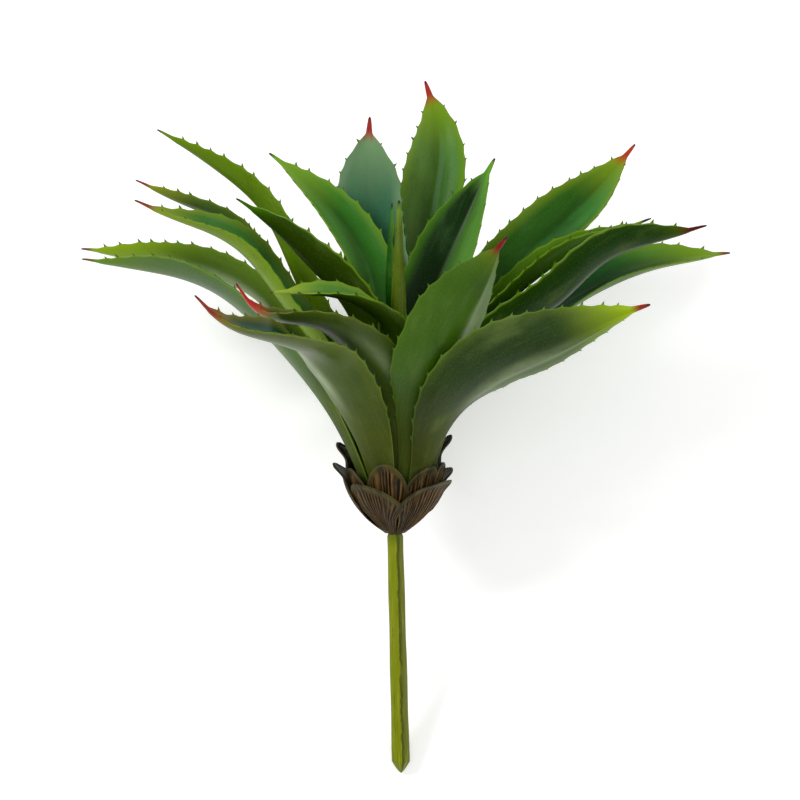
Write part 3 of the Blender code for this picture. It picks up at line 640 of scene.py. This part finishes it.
def stem_rod():
    """The stem's mesh in the growth frame: a soft-edged, slightly uneven rod with a rib and a cut point."""
    turns = np.linspace(0.0, 2 * math.pi, STEM_SIDES, endpoint=False)
    heights = np.concatenate([
        [STEM_CORE],
        np.linspace(0.0, STEM_POINT - STEM_BELOW, STEM_RINGS),
        np.linspace(STEM_POINT - STEM_BELOW, -STEM_BELOW, STEM_POINT_RINGS)[1:-1],
    ])
    rings = []
    for height in heights:
        below = max(-height, 0.0) / STEM_BELOW
        drift = below * STEM_LEAN
        thicker = STEM_GIRTH * smooth_step(-height / STEM_NECK) + below * STEM_SWELL
        rib = STEM_RIDGE * np.maximum(np.cos(turns - math.radians(RIB_AZIMUTH)), 0.0) ** RIB_SHARPNESS
        facet = FACET_DEPTH * np.cos(FACETS * turns + 0.7)
        uneven = UNEVEN_DEPTH * np.sin(height / UNEVEN_PITCH + 2 * np.sin(turns))
        uneven = uneven * smooth_step(-height / UNEVEN_BELOW)
        to_point = np.clip((height + STEM_BELOW) / STEM_POINT, 0.0, 1.0)
        shrink = to_point**STEM_POINT_POWER
        radius = (STEM_RADIUS - STEM_RIDGE + thicker + rib + facet + uneven) * shrink
        x, y = drift + radius * np.cos(turns), radius * np.sin(turns)
        rings.append(np.stack([x, y, 0 * turns + height], 1))
    vertices = np.concatenate(rings + [np.array([[STEM_LEAN, 0.0, -STEM_BELOW]])])
    faces = [tuple(range(STEM_SIDES))] + tube(len(rings), STEM_SIDES)
    paint = {
        "turn_x": np.append(np.tile(np.cos(turns), len(rings)), 0.0),
        "turn_y": np.append(np.tile(np.sin(turns), len(rings)), 0.0),
        "along_mm": np.append(np.repeat(heights, STEM_SIDES), -STEM_BELOW) / MM,
    }
    return vertices, faces, paint


def screen(colour):
    """A screen colour such as "#5c7a3c" as the linear colour that a shader takes."""
    channels = [int(colour[i : i + 2], 16) / 255 for i in (1, 3, 5)]
    linear = [c / 12.92 if c <= 0.04045 else ((c + 0.055) / 1.055) ** 2.4 for c in channels]
    return (*[PAINT_DEPTH * c**PAINT_CURVE for c in linear], 1.0)


class Paint:
    """A material whose nodes are laid down one value at a time."""

    def __init__(self, name):
        self.material = bpy.data.materials.new(name)
        self.material.use_nodes = True
        self.tree = self.material.node_tree
        self.shader = self.tree.nodes["Principled BSDF"]

    def set(self, socket, value):
        if isinstance(value, bpy.types.NodeSocket):
            self.tree.links.new(value, socket)
        else:
            socket.default_value = value

    def node(self, kind, inputs, output=0, **settings):
        made = self.tree.nodes.new(kind)
        for name, value in settings.items():
            setattr(made, name, value)
        for key, value in inputs.items():
            self.set(made.inputs[key], value)
        return made.outputs[output]

    def read(self, name):
        return self.node("ShaderNodeAttribute", {}, "Fac", attribute_name=name)

    def math(self, operation, first, second=0.0):
        return self.node("ShaderNodeMath", {0: first, 1: second}, operation=operation)

    def times(self, first, *others):
        for other in others:
            first = self.math("MULTIPLY", first, other)
        return first

    def band(self, value, start, end, low=0.0, high=1.0):
        """Goes smoothly from low to high as value goes from start to end."""
        inputs = {"Value": value, "From Min": start, "From Max": end, "To Min": low, "To Max": high}
        return self.node("ShaderNodeMapRange", inputs, interpolation_type="SMOOTHSTEP")

    def mix(self, share, first, second):
        return self.node("ShaderNodeMix", {0: share, 6: first, 7: second}, 2, data_type="RGBA")

    def place(self, x, y, z=0.0):
        return self.node("ShaderNodeCombineXYZ", {0: x, 1: y, 2: z})

    def noise(self, place, scale, detail=3.0):
        return self.node("ShaderNodeTexNoise", {"Vector": place, "Scale": scale, "Detail": detail}, "Fac")

    def bump(self, height, strength, depth):
        inputs = {"Height": height, "Strength": strength, "Distance": depth}
        self.set(self.shader.inputs["Normal"], self.node("ShaderNodeBump", inputs))


def leaf_paint(name, width, number):
    """Plastic painted like an aloe's leaf: a green face and back, bright rims, and a tip that turns red, with
    painted light and shade: lit and shaded halves of the face, shade in its valley and at its root,
    highlights along the rims and, on some leaves, a pale sheen and a lit strip beside the keel.
    """
    look = LOOKS[name]
    paint = Paint(name + "_paint")
    across, back, share = paint.read("across"), paint.read("back"), paint.read("share")
    tip, across_mm = paint.read("tip_mm"), paint.read("across_mm")
    streaks, clouds, fine = [
        paint.noise(paint.place(across_mm, paint.times(tip, drawn), number * apart), scale, detail)
        for drawn, apart, scale, detail in LEAF_NOISES
    ]
    # The face's two halves are painted as lit and shaded copies of one green where their colours differ.
    face = paint.mix(paint.band(across, -0.1, 0.1), screen(look.far), screen(look.face))
    colour = paint.mix(back, face, screen(look.back))
    root = paint.mix(back, screen(FACE_ROOT_SHADE), screen(BACK_ROOT))
    # Painted shade darkens the face towards its root; the back turns olive there.
    colour = paint.mix(paint.band(share, 0.52, 0.16, 0.0, 0.78), colour, root)
    light = paint.mix(back, screen(FACE_LIGHT), screen(BACK_LIGHT))
    for noise, start, end, most, tint in (
        (clouds, 0.5, 0.8, 0.25, light),
        (clouds, 0.5, 0.25, 0.35, screen(LEAF_DARK)),
        (streaks, 0.5, 0.75, 0.06, light),
        (streaks, 0.46, 0.25, 0.08, screen(LEAF_DARK)),
        (fine, 0.52, 0.75, 0.12, light),
        (fine, 0.46, 0.28, 0.25, screen(LEAF_DARK)),
    ):
        colour = paint.mix(paint.band(noise, start, end, 0.0, most), colour, tint)
    edge = paint.math("ABSOLUTE", across)
    # Painted shade down the middle of the face's channel.
    valley = paint.times(paint.band(edge, 0.6, 0.0, 0.0, look.valley), paint.band(back, 0.5, 0.0))
    colour = paint.mix(valley, colour, screen(LEAF_DARK))
    tinted = paint.band(back, 0.0, 1.0, 0.45, 0.1)
    margin = paint.times(paint.band(edge, 0.62, 1.0), paint.band(share, 0.25, 0.6), tinted)
    colour = paint.mix(margin, colour, screen(look.glow))
    # Painted highlight: a pale sheen on the back of some leaves.
    if look.sheen:
        off_line = paint.math("ABSOLUTE", paint.math("SUBTRACT", across, look.sheen_at))
        sheen = paint.times(
            paint.band(off_line, 0.32, 0.0, 0.0, look.sheen),
            back,
            paint.band(share, 0.3, 0.5),
            paint.band(share, 0.86, 0.68),
            paint.band(clouds, 0.3, 0.6, 0.5, 1.0),
        )
        colour = paint.mix(sheen, colour, screen(PAINTED_SHEEN))
    # Painted light: the lit strip of the back beside the keel.
    if look.keel:
        beside = paint.band(across, KEEL_PLACE, KEEL_PLACE + 0.06, 0.0, 0.45)
        lit_strip = paint.times(beside, back, paint.band(share, 0.35, 0.5))
        colour = paint.mix(lit_strip, colour, screen(KEEL_LIT_STRIP))
    glow = paint.band(paint.math("ADD", tip, paint.times(clouds, 14.0)), look.glow_reach + 7, 9)
    colour = paint.mix(glow, colour, screen(look.glow))
    # Painted highlight along the rims.
    rim = paint.times(paint.band(edge, 1.0 - RIM_REACH / width, 0.99), look.rim)
    colour = paint.mix(rim, colour, screen(RIM))
    ragged = paint.math("ADD", tip, paint.times(streaks, 5.0))
    red = paint.band(ragged, look.red_reach + 4, 0.45 * look.red_reach + 3)
    colour = paint.mix(red, colour, screen(look.red))
    colour = paint.mix(paint.band(tip, 2.6, 1.0, 0.0, 0.85), colour, screen(POINT))
    colour = paint.mix(paint.read("tooth"), colour, screen(TOOTH))
    paint.set(paint.shader.inputs["Base Color"], colour)
    dull = paint.math("ADD", paint.band(clouds, 0.3, 0.75, 0.3, 0.42), paint.band(share, 0.45, 0.2, 0.0, 0.4))
    paint.set(paint.shader.inputs["Roughness"], dull)
    paint.shader.inputs["Specular IOR Level"].default_value = GLOSS_BACK if look.sheen else GLOSS_FACE
    paint.bump(paint.math("ADD", streaks, paint.times(fine, 0.6)), 0.25, LEAF_GRAIN)
    return paint.material


def husk_paint(name, number):
    """Satin plastic like dry husk: brown with light ribs and dark grooves, an olive rolled rim, and an inside
    painted dark as shade.
    """
    paint = Paint(name + "_paint")
    ridge, rim, outside = paint.read("ridge"), paint.read("rim_mm"), paint.read("outside")
    along = paint.times(paint.read("along_mm"), 0.12)
    place = paint.place(paint.read("across_mm"), along, number * 2.3)
    fibres = paint.noise(place, 1.15, 4.0)
    patches = paint.noise(place, 0.22, 2.0)
    colour = paint.mix(paint.band(patches, 0.35, 0.65), screen(HUSK_BROWN), screen(HUSK_WARM))
    colour = paint.mix(paint.band(ridge, 0.05, 0.85, 0.0, 0.85), colour, screen(HUSK_RIB))
    colour = paint.mix(paint.band(ridge, -0.05, -0.7, 0.0, 0.85), colour, screen(HUSK_GROOVE))
    colour = paint.mix(paint.band(fibres, 0.5, 0.72, 0.0, 0.7), colour, screen(HUSK_GROOVE))
    colour = paint.mix(paint.band(fibres, 0.46, 0.3, 0.0, 0.5), colour, screen(HUSK_RIB))
    lip = paint.band(paint.math("ADD", rim, paint.times(fibres, 2.0)), 5.6, 3.6)
    olive = paint.mix(paint.band(patches, 0.4, 0.65), screen(LIP_OLIVE), screen(LIP_DARK))
    colour = paint.mix(lip, colour, olive)
    # The inner side is painted dark as shade.
    colour = paint.mix(outside, screen(HUSK_INSIDE_SHADE), colour)
    paint.set(paint.shader.inputs["Base Color"], colour)
    paint.set(paint.shader.inputs["Roughness"], paint.band(fibres, 0.3, 0.7, 0.42, 0.62))
    paint.shader.inputs["Specular IOR Level"].default_value = HUSK_GLOSS
    paint.bump(fibres, 0.6, HUSK_GRAIN)
    return paint.material


def stem_paint():
    """Painted plastic with painted light and shade: a lit yellow-green side, a shaded olive side, a stripe of
    painted shade beside the rib, and painted shade where the stem goes into the collar.
    """
    paint = Paint("stem_paint")
    x, y, along = paint.read("turn_x"), paint.read("turn_y"), paint.read("along_mm")
    place = paint.place(paint.times(x, 4.0), paint.times(y, 4.0), paint.times(along, 0.05))
    streaks = paint.noise(place, 1.3, 4.0)
    blotches = paint.noise(paint.place(x, y, paint.times(along, 0.16)), 0.9, 3.0)
    side = paint.math("ADD", x, paint.band(blotches, 0.3, 0.7, -0.09, 0.09))
    # Painted light and shade: yellow-green on the lit side, olive on the shaded side.
    colour = paint.mix(paint.band(side, 0.28, 0.42), screen(STEM_LIT_SIDE), screen(STEM_SHADED_SIDE))
    # Painted shade in a stripe beside the rib, on the side that is shown.
    shown = paint.band(y, 0.2, -0.2, 0.0, 0.85)
    shade_stripe = paint.times(paint.band(side, 0.06, 0.2), paint.band(side, 0.46, 0.3), shown)
    colour = paint.mix(shade_stripe, colour, screen(STEM_DARK))
    # Painted shade along the stem's -X edge.
    colour = paint.mix(paint.band(side, -0.72, -0.95, 0.0, 0.6), colour, screen(STEM_SHADED_SIDE))
    colour = paint.mix(paint.band(streaks, 0.52, 0.75, 0.0, 0.6), colour, screen(STEM_PALE))
    colour = paint.mix(paint.band(streaks, 0.45, 0.25, 0.0, 0.5), colour, screen(STEM_DARK))
    colour = paint.mix(paint.band(blotches, 0.62, 0.72, 0.0, 0.35), colour, screen(STEM_GREEN))
    # Painted shade where the stem goes into the collar.
    colour = paint.mix(paint.band(along, -8.0, 0.0, 0.0, 0.5), colour, screen(STEM_DARK))
    paint.set(paint.shader.inputs["Base Color"], colour)
    paint.set(paint.shader.inputs["Roughness"], paint.band(streaks, 0.3, 0.7, 0.32, 0.5))
    paint.shader.inputs["Specular IOR Level"].default_value = STEM_GLOSS
    paint.bump(streaks, 0.5, STEM_GRAIN)
    return paint.material


def laid(point):
    """Where a point of the growth frame is once the plant lies down."""
    return LAID @ Vector(point)


def make(name, node, shape, material):
    """Makes a piece from its growth-frame shape, in place of a node of the frame."""
    vertices, faces, paint = shape
    mesh = bpy.data.meshes.new(name)
    mesh.from_pydata([tuple(point) for point in vertices], [], faces)
    mesh.transform(LAID)
    for key, values in paint.items():
        layer = mesh.attributes.new(key, "FLOAT", "POINT")
        layer.data.foreach_set("value", np.asarray(values, np.float32))
    mesh.materials.append(material)
    mesh.shade_smooth()
    mesh.set_sharp_from_angle(angle=math.radians(SHARP_ANGLE))
    piece = bpy.data.objects.new(name, mesh)
    bpy.context.scene.collection.objects.link(piece)
    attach(piece, "root")
    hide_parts(node)


def facing(location, target):
    """The turn that points a light or camera from location to target, with the stem's line as upright."""
    back = (location - target).normalized()
    right = (LAID.to_3x3() @ Vector((0, 0, 1))).cross(back).normalized()
    return Matrix((right, back.cross(right), back)).transposed().to_4x4()


def soft_light(name, place, size, power):
    """An area light at a place of the growth frame, turned to the rosette."""
    data = bpy.data.lights.new(name, "AREA")
    data.shape = "DISK"
    data.size = size
    data.energy = power
    light = bpy.data.objects.new(name, data)
    location = laid(place)
    light.matrix_world = Matrix.Translation(location) @ facing(location, laid(CAMERA_AIM))
    bpy.context.scene.collection.objects.link(light)


def studio():
    """The pale floor, the soft lights and the camera."""
    bpy.ops.mesh.primitive_plane_add(size=FLOOR_SIZE, location=(0, 0, 0))
    floor = bpy.context.object
    floor.name = "floor"
    cover = Paint("floor_paper")
    paper = cover.noise(cover.node("ShaderNodeTexCoord", {}, "Object"), 60.0, 4.0)
    cover.set(cover.shader.inputs["Base Color"], cover.mix(paper, PAPER_DARK, PAPER_LIGHT))
    cover.shader.inputs["Roughness"].default_value = FLOOR_ROUGHNESS
    cover.shader.inputs["Emission Color"].default_value = PAPER_LIGHT
    cover.shader.inputs["Emission Strength"].default_value = FLOOR_GLOW
    cover.shader.inputs["Specular IOR Level"].default_value = FLOOR_GLOSS
    floor.data.materials.append(cover.material)
    world = bpy.data.worlds.new("studio")
    bpy.context.scene.world = world
    world.use_nodes = True
    world.node_tree.nodes["Background"].inputs["Color"].default_value = (1.0, 1.0, 1.0, 1.0)
    world.node_tree.nodes["Background"].inputs["Strength"].default_value = WORLD_STRENGTH
    for name, place, size, power in LIGHTS:
        soft_light(name, place, size, power)
    camera = bpy.data.objects.new("camera", bpy.data.cameras.new("camera"))
    camera.data.lens = CAMERA_LENS
    location = laid(CAMERA_AIM - Vector((0, CAMERA_DISTANCE, 0)))
    camera.matrix_world = Matrix.Translation(location) @ facing(location, laid(CAMERA_AIM))
    bpy.context.scene.collection.objects.link(camera)
    bpy.context.scene.camera = camera
    bpy.context.scene.view_settings.view_transform = "Standard"


def main():
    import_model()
    make("stem_rod", "stem", stem_rod(), stem_paint())
    for number, leaf in enumerate(LEAVES):
        shape = leaf_blade(leaf, number)
        make(leaf.name + "_blade", leaf.name, shape, leaf_paint(leaf.name, leaf.width, number))
    for number, husk in enumerate(HUSKS):
        shape = husk_skin(husk, number)
        make(husk.name + "_scale", husk.name, shape, husk_paint(husk.name, number))
    studio()


main()
